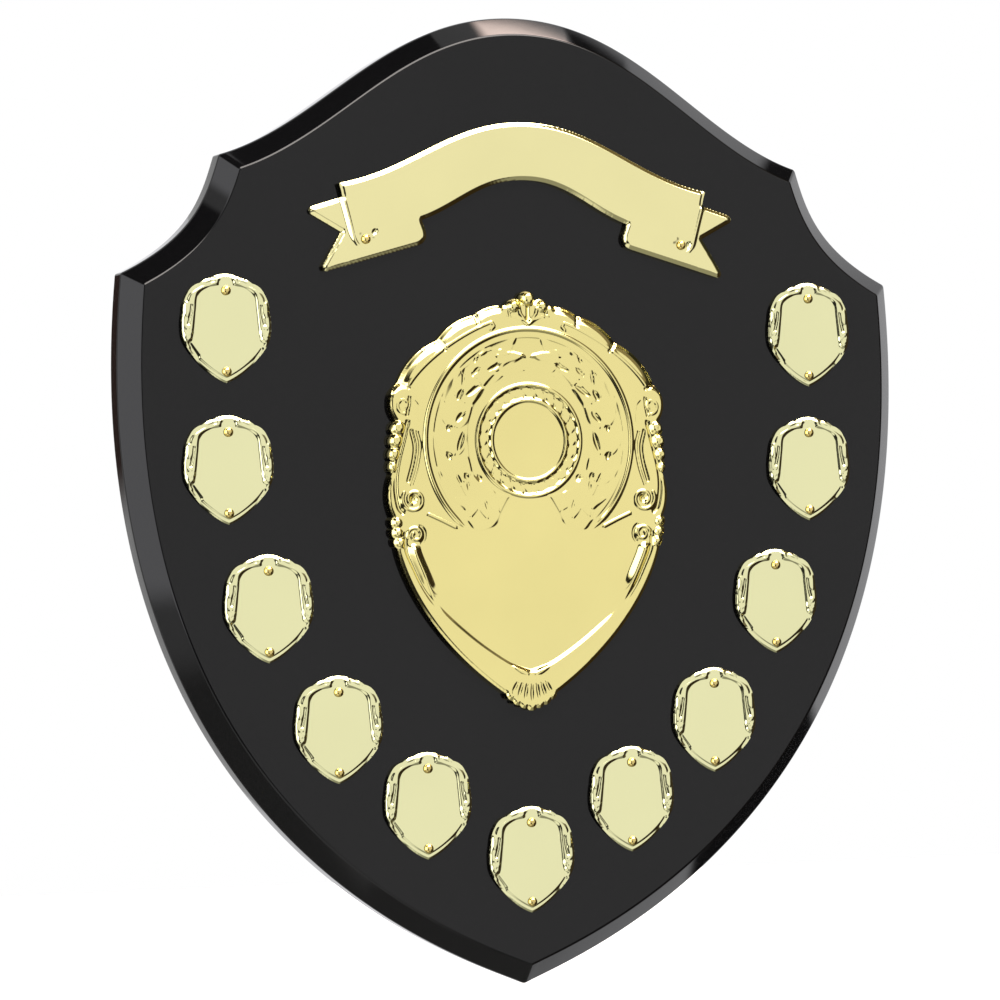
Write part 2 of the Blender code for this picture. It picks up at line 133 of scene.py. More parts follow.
# The wreath's right branch: its edge, and the deep places between its leaves with their half widths
WREATH_EDGE = (
    (6.8, 1.6), (7.8, 0.2), (9.9, -3.4), (11.6, -7.0), (14.1, -8.6), (18.4, -9.2), (20.8, -6.6),
    (22.5, -2.4), (27.2, 1.6), (29.5, 6.6), (31.1, 14.2), (31.8, 18.2), (31.0, 24.0), (29.7, 29.4),
    (28.4, 34.6), (25.7, 39.0), (19.4, 44.2), (12.7, 47.7), (4.8, 46.7), (1.1, 45.4), (7.0, 43.4),
    (12.5, 39.0), (17.0, 33.4), (20.2, 26.0), (20.8, 19.0), (19.6, 10.0), (15.8, 4.6), (11.0, 2.4),
)
WREATH_PITS = (
    ((18.6, 43.2), (17.2, 45.3), 0.6),
    ((19.5, 39.1), (16.2, 42.2), 0.8),
    ((8.8, 43.4), (14.3, 40.6), 0.8),
    ((24.4, 31.5), (22.2, 35.1), 0.85),
    ((22.7, 35.1), (21.4, 41.7), 0.5),
    ((21.6, 32.6), (15.7, 36.5), 0.85),
    ((25.0, 24.5), (21.4, 28.2), 0.85),
    ((27.3, 21.7), (27.2, 24.1), 0.8),
    ((24.3, 15.0), (22.0, 22.4), 1.0),
    ((27.9, 15.6), (26.6, 12.7), 0.85),
    ((21.9, 8.9), (20.9, 6.4), 0.85),
    ((21.0, 7.0), (20.6, 2.2), 0.5),
    ((17.7, 8.4), (16.0, 6.3), 0.6),
    ((25.0, 8.8), (23.2, 5.1), 0.5),
    ((15.4, 0.6), (14.2, -3.6), 0.5),
)


# Lines and outlines


def run(start, first_handle, last_handle, end, steps):
    """Points along one Bezier stretch, without its first point."""
    knots = [Vector((*point, 0.0)) for point in (start, first_handle, last_handle, end)]
    return [(p.x, p.y) for p in interpolate_bezier(*knots, steps + 1)][1:-1] + [tuple(end)]


def lobe(start, end, bulge, steps):
    """Points along an arc from start to end that bulges to the left of its way, without the first."""
    a, b = Vector(start), Vector(end)
    chord = b - a
    radius = (chord.length ** 2 / 4 + bulge ** 2) / (2 * bulge)
    half_angle = asin(chord.length / 2 / radius)
    side = Vector((-chord.y, chord.x)).normalized()
    centre = (a + b) / 2 + side * (bulge - radius)
    points = []
    for step in range(1, steps + 1):
        turn = half_angle * (1 - 2 * step / steps)
        points.append(tuple(centre + (side * cos(turn) - chord.normalized() * sin(turn)) * radius))
    return points


def lobes(start, knots, steps):
    """A row of lobes: knots hold each lobe's end and its bulge."""
    points = []
    for end, bulge in knots:
        points += lobe(start, end, bulge, steps)
        start = end
    return points


def whole(half):
    """Both halves of an outline whose right half runs from the top to the bottom of the middle line."""
    return half + [(-x, z) for x, z in reversed(half) if abs(x) > 1e-4]


def arc(centre, radius, first, last, steps):
    """Points along a part of a circle, between two angles."""
    turns = [first + (last - first) * step / steps for step in range(steps + 1)]
    return [(centre[0] + radius * cos(turn), centre[1] + radius * sin(turn)) for turn in turns]


def spiral(centre, outer, inner, first, turns, hand, steps):
    """A volute that winds in from its outer radius."""
    points = []
    for step in range(steps + 1):
        share = step / steps
        angle = first + hand * 2 * pi * turns * share
        radius = outer + (inner - outer) * share
        points.append((centre[0] + radius * cos(angle), centre[1] + radius * sin(angle)))
    return points


def heading(turn):
    """One step in a direction."""
    return np.array([cos(turn), sin(turn)])


def board_sides():
    """The board's right half in three stretches: its top, the hollow between its corners, its long side."""
    top, tip = (0.0, BOARD_TOP), (0.0, BOARD_TIP)
    return (
        [top] + run(top, (43.2, BOARD_TOP), (64.9, 117.6), SHOULDER, 56),
        [SHOULDER] + run(SHOULDER, (103.2, 94.1), (107.3, 82.0), HORN, 28),
        [HORN] + run(HORN, (148.8, -108.1), (12.3, -146.7), tip, 110),
    )


def drawn_in(line, width):
    """A line moved sideways, to the right of its way."""
    line = np.asarray(line, dtype=float)
    way = np.gradient(line, axis=0)
    way /= np.hypot(*way.T)[:, None]
    return line + width * np.stack([way[:, 1], -way[:, 0]], axis=1)


def meeting(first, second):
    """Where two lines cross, with the number of the crossed stretch on each."""
    for i, (a, b) in enumerate(zip(first[:-1], first[1:])):
        for j, (c, d) in enumerate(zip(second[:-1], second[1:])):
            across = np.array([b - a, c - d]).T
            if abs(np.linalg.det(across)) > 1e-12:
                s, t = np.linalg.solve(across, c - a)
                if -1e-9 <= s <= 1 + 1e-9 and -1e-9 <= t <= 1 + 1e-9:
                    return a + s * (b - a), i, j
    raise RuntimeError("the chamfer's lines don't meet")


def respaced(line, count):
    """A line's points, spread evenly over its length."""
    line = np.asarray(line)
    lengths = np.concatenate([[0], np.cumsum(np.hypot(*np.diff(line, axis=0).T))])
    wanted = np.linspace(0, lengths[-1], count)
    return np.stack([np.interp(wanted, lengths, line[:, axis]) for axis in (0, 1)], axis=1)


def board_rings(width):
    """The board's outline and the face's edge inside it, point for point, each with both halves."""
    outer = board_sides()
    inner = [drawn_in(side, width) for side in outer]
    inner[0][0] = (0.0, BOARD_TOP - width)
    for one, other in ((0, 1), (1, 2)):
        corner, i, j = meeting(inner[one], inner[other])
        inner[one] = np.vstack([inner[one][: i + 1], corner])
        inner[other] = np.vstack([corner, inner[other][j + 1 :]])
    past = np.nonzero(inner[2][:, 0] <= 0)[0][0]
    before, beyond = inner[2][past - 1], inner[2][past]
    level = np.interp(0.0, (beyond[0], before[0]), (beyond[1], before[1]))
    inner[2] = np.vstack([inner[2][:past], (0.0, level)])
    rings = []
    for sides in (outer, inner):
        half = []
        for side, drawn in zip(outer, sides):
            half += [tuple(point) for point in respaced(drawn, len(side))[(1 if half else 0) :]]
        rings.append(whole(half))
    return rings


def keyhole(radius):
    """The hanging slot's outline: its round entry below, and its narrow end above."""
    entry, end = (0.0, KEY_CENTRE_Z), (0.0, KEY_CENTRE_Z + KEY_TRAVEL)
    opening = asin(radius / KEY_ENTRY_RADIUS)
    points = arc(entry, KEY_ENTRY_RADIUS, pi / 2 + opening, 2.5 * pi - opening, 36)
    return points + arc(end, radius, 0.0, pi, 24)


def small_outline():
    """A small shield's right half, measured down from its top."""
    shoulder = [((4.6, -1.2), 0.35), ((8.5, -2.9), 0.35), ((12.4, -6.0), 0.6), ((14.1, -11.7), 0.4)]
    half = [(0.0, 0.0)] + lobes((0.0, 0.0), shoulder + [((14.2, -19.8), 0.4)], 8)
    return half + run(half[-1], (12.9, -24.0), (6.0, -31.6), (0.0, -33.5), 24)


def ribbon_outline():
    """The ribbon's right half: its arched band, the fold, the swallow tail and the corner below."""
    half = [(0.0, 119.5)] + run((0.0, 119.5), (25.0, 119.5), (38.0, 103.5), (62.7, 98.9), 40)
    half += [(62.0, 96.6), (61.6, 94.6), (66.0, 93.2), (71.0, 91.7)]
    half += run((71.0, 91.7), (72.2, 91.3), (73.0, 89.9), (71.6, 89.1), 6)
    half += [(66.8, 86.5), (61.8, 83.8), (65.0, 78.5), (68.0, 73.5)]
    half += run((68.0, 73.5), (68.9, 72.0), (67.6, 71.1), (66.3, 71.6), 6)
    half += [(51.0, 75.9), (36.4, 80.0)]
    half += run((36.4, 80.0), (33.9, 80.8), (32.9, 82.8), (34.3, 85.8), 8)
    half += [(35.1, 88.0)]
    return half + run((35.1, 88.0), (22.0, 92.5), (15.0, 101.3), (0.0, 101.3), 30)


def shell_edge():
    """The fan shell's scalloped edge, from its right corner to the middle of its lowest lobe."""
    points = [SHELL_CUSPS[0]] + lobes(SHELL_CUSPS[0], [(cusp, 0.6) for cusp in SHELL_CUSPS[1:]], 8)
    return points + run(points[-1], (1.4, -66.0), (0.8, -66.2), (0.0, -66.2), 6)


def centre_outline():
    """Centre shield, right half: finial, scalloped shoulder, beaded side, scroll, plain side and shell."""
    half = [(0.0, 66.2)] + run((0.0, 66.2), (2.2, 66.2), (3.1, 64.2), (2.2, 62.6), 12)
    half += lobes((2.2, 62.6), [(SHOULDER_CUSPS[0], 1.6)], 12)
    half += lobes(half[-1], list(zip(SHOULDER_CUSPS[1:], (1.1, 1.5, 2.0, 2.4))), 20)
    beads = [((46.0, 20.9), 0.9), ((46.3, 16.8), 0.9), ((46.6, 12.6), 0.9), ((46.2, 8.6), 0.9)]
    half += lobes(half[-1], beads, 8)
    half += lobes(half[-1], [((46.2, -5.0), 1.5)], 16)
    half += lobes(half[-1], [((46.2, -8.3), 0.8), ((45.7, -11.6), 0.8), ((44.9, -14.6), 0.7)], 8)
    edge = shell_edge()
    half += run(half[-1], (42.5, -26.5), (31.5, -45.5), edge[0], 50)
    return half + edge[1:]


# Relief: heights of pressed sheet over an array of points

EASE = 0.2


def near_line(points, line, reach):
    """Distance from each point to a line, the share of its length there, and the side, 1 on its left.

    Past the reach the distance is infinite."""
    away = np.full(len(points), np.inf)
    share = np.zeros(len(points))
    side = np.zeros(len(points))
    line = np.asarray(line, dtype=float)
    lengths = np.hypot(*(line[1:] - line[:-1]).T)
    total = lengths.sum()
    before = 0.0
    for a, b, length in zip(line[:-1], line[1:], lengths):
        low, high = np.minimum(a, b) - reach, np.maximum(a, b) + reach
        near = np.nonzero(((points > low) & (points < high)).all(axis=1))[0]
        if len(near) and length > 1e-9:
            offset = points[near] - a
            way = (b - a) / length
            along = np.clip(offset @ way, 0.0, length)
            across = offset - along[:, None] * way
            distance = np.hypot(*across.T)
            better = (distance < away[near]) & (distance < reach)
            chosen = near[better]
            away[chosen] = distance[better]
            share[chosen] = (before + along[better]) / total
            side[chosen] = np.sign(way[0] * offset[better, 1] - way[1] * offset[better, 0])
        before += length
    return away, share, side


def inside(points, outline):
    """Which points lie within a closed outline."""
    within = np.zeros(len(points), dtype=bool)
    ring = np.asarray(outline, dtype=float)
    for a, b in zip(ring, np.roll(ring, -1, axis=0)):
        spans = (points[:, 1] > a[1]) != (points[:, 1] > b[1])
        if a[1] != b[1]:
            crossing = a[0] + (points[:, 1] - a[1]) * (b[0] - a[0]) / (b[1] - a[1])
            within ^= spans & (points[:, 0] < crossing)
    return within


def flowing(knots, steps=8):
    """A smooth line through the knots."""
    knots = np.asarray(knots, dtype=float)
    beyond = np.vstack([2 * knots[0] - knots[1], knots, 2 * knots[-1] - knots[-2]])
    points = []
    for a, b, c, d in zip(beyond[:-3], beyond[1:-2], beyond[2:-1], beyond[3:]):
        for t in np.arange(steps) / steps:
            bend = (2 * a - 5 * b + 4 * c - d) * t ** 2 + (3 * b - a - 3 * c + d) * t ** 3
            points.append((2 * b + (c - a) * t + bend) / 2)
    return np.array(points + [knots[-1]])


def smooth(share):
    share = np.clip(share, 0.0, 1.0)
    return share * share * (3 - 2 * share)


def ramp(share):
    """From 0 to 1 at one even slope, eased at both ends."""
    share = np.clip(share, 0.0, 1.0)
    slope = 1 / (1 - EASE)
    low = slope * share ** 2 / (2 * EASE)
    high = 1 - slope * (1 - share) ** 2 / (2 * EASE)
    return np.where(share < EASE, low, np.where(share > 1 - EASE, high, slope * (share - EASE / 2)))


def roof(share):
    """A cross-section with even slopes: 1 on the line and 0 at the edge."""
    return ramp(1 - np.abs(share))


def ridge(points, rise, line, half_width, height, taper=None):
    """Adds a ridge with even slopes, or a groove where the height is negative, along a line."""
    away, share, _ = near_line(points, line, half_width)
    near = np.isfinite(away)
    size = np.ones(near.sum()) if taper is None else np.maximum(taper(share[near]), 0.05)
    rise[near] += height * size * roof(away[near] / half_width / size)


def bank(points, rise, line, right_width, left_width, height, taper):
    """Adds a ridge whose two even slopes have their own widths, as seen along its way."""
    away, share, side = near_line(points, line, max(right_width, left_width))
    near = np.isfinite(away)
    size = taper(share[near])
    width = np.where(side[near] > 0, left_width, right_width)
    rise[near] += height * size * roof(away[near] / width)


def bead(points, rise, centre, radius, height):
    """Adds a ball's cap."""
    distance = np.hypot(points[:, 0] - centre[0], points[:, 1] - centre[1])
    near = distance < radius
    rise[near] += height * np.sqrt(1 - (distance[near] / radius) ** 2)


def along_way(points, start, end):
    """Which points lie beside the way from start to end, their shares of it, and distances to its left."""
    start, end = np.asarray(start, dtype=float), np.asarray(end, dtype=float)
    length = np.hypot(*(end - start))
    way = (end - start) / length
    near = np.nonzero(np.hypot(*(points - (start + end) / 2).T) < length / 2 + 4.0)[0]
    offset = points[near] - start
    share = offset @ way / length
    within = (share > 0) & (share < 1)
    return near[within], share[within], (offset @ np.array([-way[1], way[0]]))[within]


def pit(points, rise, start, end, half_width, depth):
    """Sinks a lens-shaped hollow between two points."""
    near, share, across = along_way(points, start, end)
    fullness = np.sin(pi * share) ** 0.6 + 1e-6
    rise[near] -= depth * fullness * roof(across / half_width / fullness)


def leaf(points, rise, ground, foot, tip, half_width, height):
    """Lays a pointed leaf on the ground: a step round its edge and a low crown."""
    near, share, across = along_way(points, foot, tip)
    width = half_width * np.sin(pi * share ** 0.8) ** 0.75 + 1e-6
    body = np.abs(across) / width
    lift = height * (0.55 * ramp((1 - body) * width / 0.45) + 0.45 * (1 - body ** 2))
    on_leaf = body < 1
    near = near[on_leaf]
    rise[near] = np.maximum(rise[near], ground[near] + lift[on_leaf])


# Meshes made with the modelling operators


def deselect():
    """Leaves edit mode and deselects everything, so that the next primitive is worked on alone."""
    if bpy.context.object and bpy.context.object.mode != "OBJECT":
        bpy.ops.object.mode_set(mode="OBJECT")
    bpy.ops.object.select_all(action="DESELECT")


def coordinates(mesh):
    flat = np.empty(len(mesh.vertices) * 3)
    mesh.vertices.foreach_get("co", flat)
    return flat.reshape(-1, 3)


def place(mesh, where):
    mesh.vertices.foreach_set("co", np.ascontiguousarray(where).ravel())
    mesh.update()


def make_current(piece):
    deselect()
    piece.select_set(True)
    bpy.context.view_layer.objects.active = piece


def apply_all(piece):
    make_current(piece)
    for change in list(piece.modifiers):
        bpy.ops.object.modifier_apply(modifier=change.name)


def face_outwards():
    """Turns every face of the mesh in edit mode outwards, and leaves edit mode."""
    bpy.ops.mesh.select_all(action="SELECT")
    bpy.ops.mesh.normals_make_consistent(inside=False)
    bpy.ops.object.mode_set(mode="OBJECT")


def outline_slab(name, outline, near, far):
    """A solid with this outline, from near to far in front of the wall, filled and extruded as by hand."""
    mesh = bpy.data.meshes.new(name)
    edges = [(i, (i + 1) % len(outline)) for i in range(len(outline))]
    mesh.from_pydata([(x * MM, -near * MM, z * MM) for x, z in outline], edges, [])
    piece = bpy.data.objects.new(name, mesh)
    bpy.context.scene.collection.objects.link(piece)
    make_current(piece)
    bpy.ops.object.mode_set(mode="EDIT")
    bpy.ops.mesh.select_all(action="SELECT")
    bpy.ops.mesh.edge_face_add()
    bpy.ops.mesh.extrude_region_move(TRANSFORM_OT_translate={"value": (0, -(far - near) * MM, 0)})
    face_outwards()
    return piece


def cut_with(piece, cutters):
    """Takes the cutters out of a piece with exact Booleans."""
    for cutter in cutters:
        cut = piece.modifiers.new("cut", "BOOLEAN")
        cut.operation = "DIFFERENCE"
        cut.solver = "EXACT"
        cut.object = cutter
        apply_all(piece)
        bpy.data.objects.remove(cutter)


def plate_grid(name, outline, spacing, rows):
    """The right half of a flat plate: a fine grid cut to the outline, its edge drawn onto the line.

    The rows are the grid's heights; it lies in the plane y = 0, in millimetres."""
    outline = np.asarray(outline, dtype=float)
    columns = int(outline[:, 0].max() / spacing) + 2
    deselect()
    bpy.ops.mesh.primitive_grid_add(x_subdivisions=columns, y_subdivisions=len(rows) - 1, size=1)
    plate = bpy.context.object
    plate.name = plate.data.name = name
    flat = coordinates(plate.data)
    column = np.rint((flat[:, 0] + 0.5) * columns).astype(int)
    row = np.rint((flat[:, 1] + 0.5) * (len(rows) - 1)).astype(int)
    points = np.stack([column * spacing, np.asarray(rows)[row]], axis=1)
    place(plate.data, np.stack([points[:, 0], np.zeros(len(points)), points[:, 1]], axis=1))
    margin = spacing * 0.4
    away, _, _ = near_line(points, outline, margin)
    keep = inside(points, outline - [1e-4, 0]) & ~np.isfinite(away)
    keep |= (column == 0) & (points[:, 1] < outline[0, 1] - margin) & (points[:, 1] > outline[-1, 1] + margin)
    make_current(plate)
    bpy.ops.object.mode_set(mode="EDIT")
    bpy.ops.mesh.select_mode(type="VERT")
    bm = bmesh.from_edit_mesh(plate.data)
    for vertex in bm.verts:
        vertex.select_set(not keep[vertex.index])
    bpy.ops.mesh.delete(type="VERT")
    bm = bmesh.from_edit_mesh(plate.data)
    loose = [v for v in bm.verts if len(v.link_faces) == 0]
    while loose:
        bmesh.ops.delete(bm, geom=loose, context="VERTS")
        loose = [v for v in bm.verts if len(v.link_faces) == 0]
    draw_edge(bm, outline, spacing)
    bmesh.update_edit_mesh(plate.data)
    bpy.ops.object.mode_set(mode="OBJECT")
    return plate


def draw_edge(bm, outline, spacing):
    """Moves the grid's open edge onto the outline, spaces it evenly and eases the cells beside it."""

    def on_middle(vertex):
        return abs(vertex.co.x) < ON_MIDDLE

    def along_edge(vertex):
        return [edge.other_vert(vertex) for edge in vertex.link_edges if edge.is_boundary]

    free = [v for v in bm.verts if v.is_boundary and not all(map(on_middle, [v] + along_edge(v)))]
    points = np.array([(v.co.x, v.co.z) for v in free])
    lengths = np.concatenate([[0], np.cumsum(np.hypot(*(outline[1:] - outline[:-1]).T))])
    _, share, _ = near_line(points, outline, spacing * 6)
    places = dict(zip(free, share * lengths[-1]))
    ends = sorted(filter(on_middle, free), key=lambda v: -v.co.z)
    places[ends[0]], places[ends[-1]] = 0.0, lengths[-1]
    chain = [ends[0]]
    seen = {ends[0]}
    while chain[-1] is not ends[-1]:
        following = [v for v in along_edge(chain[-1]) if v in places and v not in seen]
        chain.append(min(following, key=on_middle))
        seen.add(chain[-1])
    along = np.maximum.accumulate([places[v] for v in chain])
    for _ in range(SPACING_PASSES):
        along[1:-1] = 0.25 * along[:-2] + 0.5 * along[1:-1] + 0.25 * along[2:]
    for vertex, distance in zip(chain, along):
        vertex.co.x = np.interp(distance, lengths, outline[:, 0])
        vertex.co.z = np.interp(distance, lengths, outline[:, 1])
    ring, done, band = chain, set(chain), []
    for _ in range(EASED_ROWS):
        beyond = dict.fromkeys(e.other_vert(v) for v in ring for e in v.link_edges)
        ring = [v for v in beyond if v not in done]
        done.update(ring)
        band += [v for v in ring if v.co.x > ON_MIDDLE]
    for _ in range(EASING_PASSES):
        for vertex in band:
            near = [e.other_vert(vertex).co for e in vertex.link_edges]
            vertex.co = vertex.co * 0.4 + sum(near, Vector()) / len(near) * 0.6


def press(plate, relief):
    """Mirrors a half plate, gives it its heights, and turns its edge down into a wall with a flat back.

    The relief is asked for points folded onto the right half, and for their true places. Each height is the
    mean of four close samples, so that narrow lines don't beat against the grid."""
    mirror = plate.modifiers.new("other_half", "MIRROR")
    mirror.use_axis = (True, False, False)
    mirror.use_clip = True
    mirror.merge_threshold = 0.01
    apply_all(plate)
    true = coordinates(plate.data)[:, [0, 2]]
    rise = np.zeros(len(true))
    for shift in ((-1, -1), (-1, 1), (1, -1), (1, 1)):
        sample = true + np.array(shift) * SAMPLE_SHIFT
        rise += relief(np.stack([np.abs(sample[:, 0]), sample[:, 1]], axis=1), sample) / 4
    place(plate.data, np.stack([true[:, 0], -rise, true[:, 1]], axis=1))
    bpy.ops.object.mode_set(mode="EDIT")
    bpy.ops.mesh.select_mode(type="EDGE")
    bpy.ops.mesh.select_all(action="DESELECT")
    bpy.ops.mesh.select_non_manifold()
    bpy.ops.mesh.extrude_edges_move()
    bm = bmesh.from_edit_mesh(plate.data)
    for vertex in bm.verts:
        if vertex.select:
            vertex.co.y = -SHEET_BACK
    bpy.ops.mesh.edge_face_add()
    face_outwards()


def set_out(plate, offset=(0.0, 0.0), name=None):
    """Scales a plate from millimetres and sets it on the board, with its place in its mesh."""
    where = coordinates(plate.data)
    where[:, 0] += offset[0]
    where[:, 1] -= BOARD_FRONT
    where[:, 2] += offset[1]
    place(plate.data, where * MM)
    if name:
        plate.name = plate.data.name = name


def finish_piece(piece, look, nodes, angle=50):
    """Shades a piece, gives it its look, hangs it from the root and hides the frame's nodes that it stands
    for.
    """
    piece.data.materials.clear()
    piece.data.materials.append(look)
    make_current(piece)
    bpy.ops.object.shade_smooth_by_angle(angle=radians(angle))
    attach(piece, "root")
    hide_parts(*nodes)


def nodes_with(part):
    """The frame's nodes whose names hold this part, in order."""
    return sorted(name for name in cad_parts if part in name)


def rows_between(stops):
    """Grid heights through stretches of (upper end, lower end, spacing), from the bottom up."""
    rows = []
    for top, bottom, spacing in stops:
        count = max(1, round((top - bottom) / spacing))
        rows += [top + (bottom - top) * step / count for step in range(count)]
    rows.append(stops[-1][1])
    return rows[::-1]


def slope_rim(points, rise, outline, width, drop):
    """Slopes the plate down to its edge."""
    away, _, _ = near_line(points, outline, width)
    near = np.isfinite(away)
    rise[near] -= drop * ramp(1 - away[near] / width)


# Materials


def node(tree, kind, **settings):
    made = tree.nodes.new(kind)
    for name, value in settings.items():
        setattr(made, name, value)
    return made


def maths(tree, operation, *terms):
    """The result of a Math node whose terms are numbers or other nodes' results."""
    made = node(tree, "ShaderNodeMath", operation=operation)
    for socket, term in zip(made.inputs, terms):
        if isinstance(term, float):
            socket.default_value = term
        else:
            tree.links.new(term, socket)
    return made.outputs[0]


def polished_look(name, shades, stops, gloss, drift, rub, ripple, bump):
    """A glossy finish: its colour drifts between two shades, rubbing breaks up its gloss, and it ripples.

    The stops are where the drift reaches each shade, and gloss is the least and the most roughness. Drift,
    rub and ripple are each a noise's scale and detail, and bump is the ripple's strength and height."""
    look = bpy.data.materials.new(name)
    look.use_nodes = True
    tree = look.node_tree
    links = tree.links
    shader = tree.nodes["Principled BSDF"]
    tint = node(tree, "ShaderNodeValToRGB")
    for element, shade, stop in zip(tint.color_ramp.elements, shades, stops):
        element.position = stop
        element.color = (*shade, 1.0)
    span = node(tree, "ShaderNodeMapRange")
    span.inputs["To Min"].default_value, span.inputs["To Max"].default_value = gloss
    dents = node(tree, "ShaderNodeBump")
    dents.inputs["Strength"].default_value, dents.inputs["Distance"].default_value = bump
    where = node(tree, "ShaderNodeTexCoord")
    targets = (tint.inputs["Fac"], span.inputs["Value"], dents.inputs["Height"])
    for pattern, target in zip((drift, rub, ripple), targets):
        texture = node(tree, "ShaderNodeTexNoise")
        texture.inputs["Scale"].default_value, texture.inputs["Detail"].default_value = pattern
        links.new(where.outputs["Object"], texture.inputs["Vector"])
        links.new(texture.outputs["Fac"], target)
    links.new(tint.outputs["Color"], shader.inputs["Base Color"])
    links.new(span.outputs["Result"], shader.inputs["Roughness"])
    links.new(dents.outputs["Normal"], shader.inputs["Normal"])
    return look


def metal_look(name, colour, shade, roughness):
    """Bright plated metal, down to this share of its colour where it is darkest."""
    shades = ([part * shade for part in colour], colour)
    gloss = (roughness * 0.75, roughness * 1.25)
    look = polished_look(
        name, shades, (0.35, 0.65), gloss, drift=(28.0, 3.0), rub=(900.0, 4.0), ripple=(60.0, 1.0),
        bump=(0.25, 0.0001),
    )
    look.node_tree.nodes["Principled BSDF"].inputs["Metallic"].default_value = 1.0
    return look


def lacquer_look(colour, roughness):
    """Black gloss lacquer."""
    shades = [[part * shade for part in colour] for shade in (0.7, 1.3)]
    gloss = (roughness * 0.6, roughness * 1.4)
    look = polished_look(
        "black_lacquer", shades, (0.0, 1.0), gloss, drift=(12.0, 2.0), rub=(300.0, 5.0), ripple=(140.0, 2.0),
        bump=(0.12, 0.00005),
    )
    look.node_tree.nodes["Principled BSDF"].inputs["Specular IOR Level"].default_value = 0.3
    return look


# Sizes and colours that a user would change


class BoardSettings(bpy.types.PropertyGroup):
    chamfer: FloatProperty(
        name="Chamfer", description="Width of the slope round the front", default=0.006, unit="LENGTH"
    )
    softness: FloatProperty(
        name="Edge rounding", description="How far the lacquer rounds edges", default=0.0006, unit="LENGTH"
    )
    colour: FloatVectorProperty(
        name="Lacquer", description="Colour under the gloss", default=(0.002, 0.002, 0.0022), subtype="COLOR"
    )


class RibbonSettings(bpy.types.PropertyGroup):
    rise: FloatProperty(
        name="Rise", description="Height of the band in front of the board", default=0.0026, unit="LENGTH"
    )
    colour: FloatVectorProperty(
        name="Gold", description="Colour of the ribbon", default=(0.90, 0.83, 0.42), subtype="COLOR"
    )


class CentreSettings(bpy.types.PropertyGroup):
    rise: FloatProperty(
        name="Rise", description="Height of the shield's sheet in front of the board", default=0.003,
        unit="LENGTH",
    )
    rope_turns: IntProperty(name="Rope turns", description="Strands round the medal place", default=24)
    colour: FloatVectorProperty(
        name="Gold", description="Colour of the centre shield", default=(0.91, 0.80, 0.33), subtype="COLOR"
    )


class SmallSettings(bpy.types.PropertyGroup):
    rise: FloatProperty(
        name="Rise", description="Height of the flat field in front of the board", default=0.0012,
        unit="LENGTH",
    )
    colour: FloatVectorProperty(
        name="Gold", description="Colour of the small shields", default=(0.86, 0.84, 0.48), subtype="COLOR"
    )


class PinSettings(bpy.types.PropertyGroup):
    sides: IntProperty(name="Sides", description="Faces round a pin's head", default=32)
    colour: FloatVectorProperty(
        name="Brass", description="Colour of the pins", default=(0.80, 0.62, 0.22), subtype="COLOR"
    )


class StudioSettings(bpy.types.PropertyGroup):
    floor_drop: FloatProperty(
        name="Floor drop", description="How far the floor lies below the plaque", default=0.45, unit="LENGTH"
    )
    softbox: FloatProperty(name="Softbox", description="Brightness of the overhead softbox", default=12.0)


# The pieces


